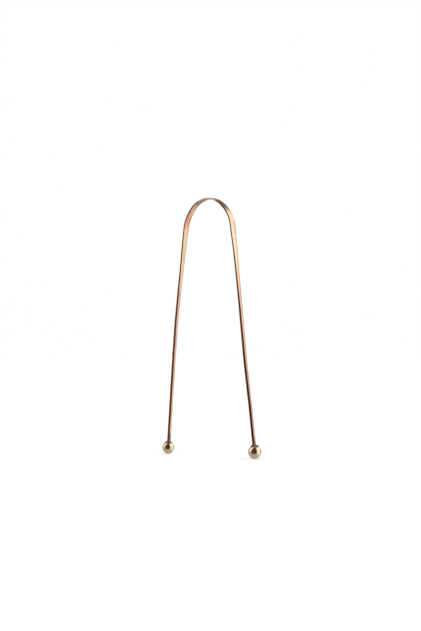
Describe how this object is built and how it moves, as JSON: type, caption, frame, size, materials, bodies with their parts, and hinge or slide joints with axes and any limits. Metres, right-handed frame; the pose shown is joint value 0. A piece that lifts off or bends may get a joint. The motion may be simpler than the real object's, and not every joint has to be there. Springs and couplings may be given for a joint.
{
  "type": "tongue cleaner",
  "caption": "Hand-held tongue cleaner: a springy U of copper strip with a scraping bow and two arms that end in brass balls.",
  "frame": {"origin": "on the surface below the two balls, midway between their outer sides", "axes": "+Z from the balls up to the bow, +X from the left ball towards the right ball, +Y through the bow from front to back"},
  "size_m": [0.073, 0.0072, 0.14],
  "materials": {
    "copper": "drawn copper, brushed lengthwise, lightly tarnished",
    "brass": "polished",
    "solder": "dull dark solder"
  },
  "bodies": {
    "bow": {"scraper_bow": "copper"},
    "left_side": {"left_arm": "copper", "left_ball": "brass", "left_solder": "solder"},
    "right_side": {"right_arm": "copper", "right_ball": "brass", "right_solder": "solder"}
  },
  "joints": [
    {"name": "left_arm_flex", "type": "hinge", "parent": "bow", "child": "left_side", "pos_m": [-0.01826, 0, 0.12444], "axis": [0, -1, 0], "range_deg": [-6, 12], "stiffness_Nm_per_rad": 0.58},
    {"name": "right_arm_flex", "type": "hinge", "parent": "bow", "child": "right_side", "pos_m": [0.01735, 0, 0.12388], "axis": [0, 1, 0], "range_deg": [-6, 12], "stiffness_Nm_per_rad": 0.58}
  ]
}
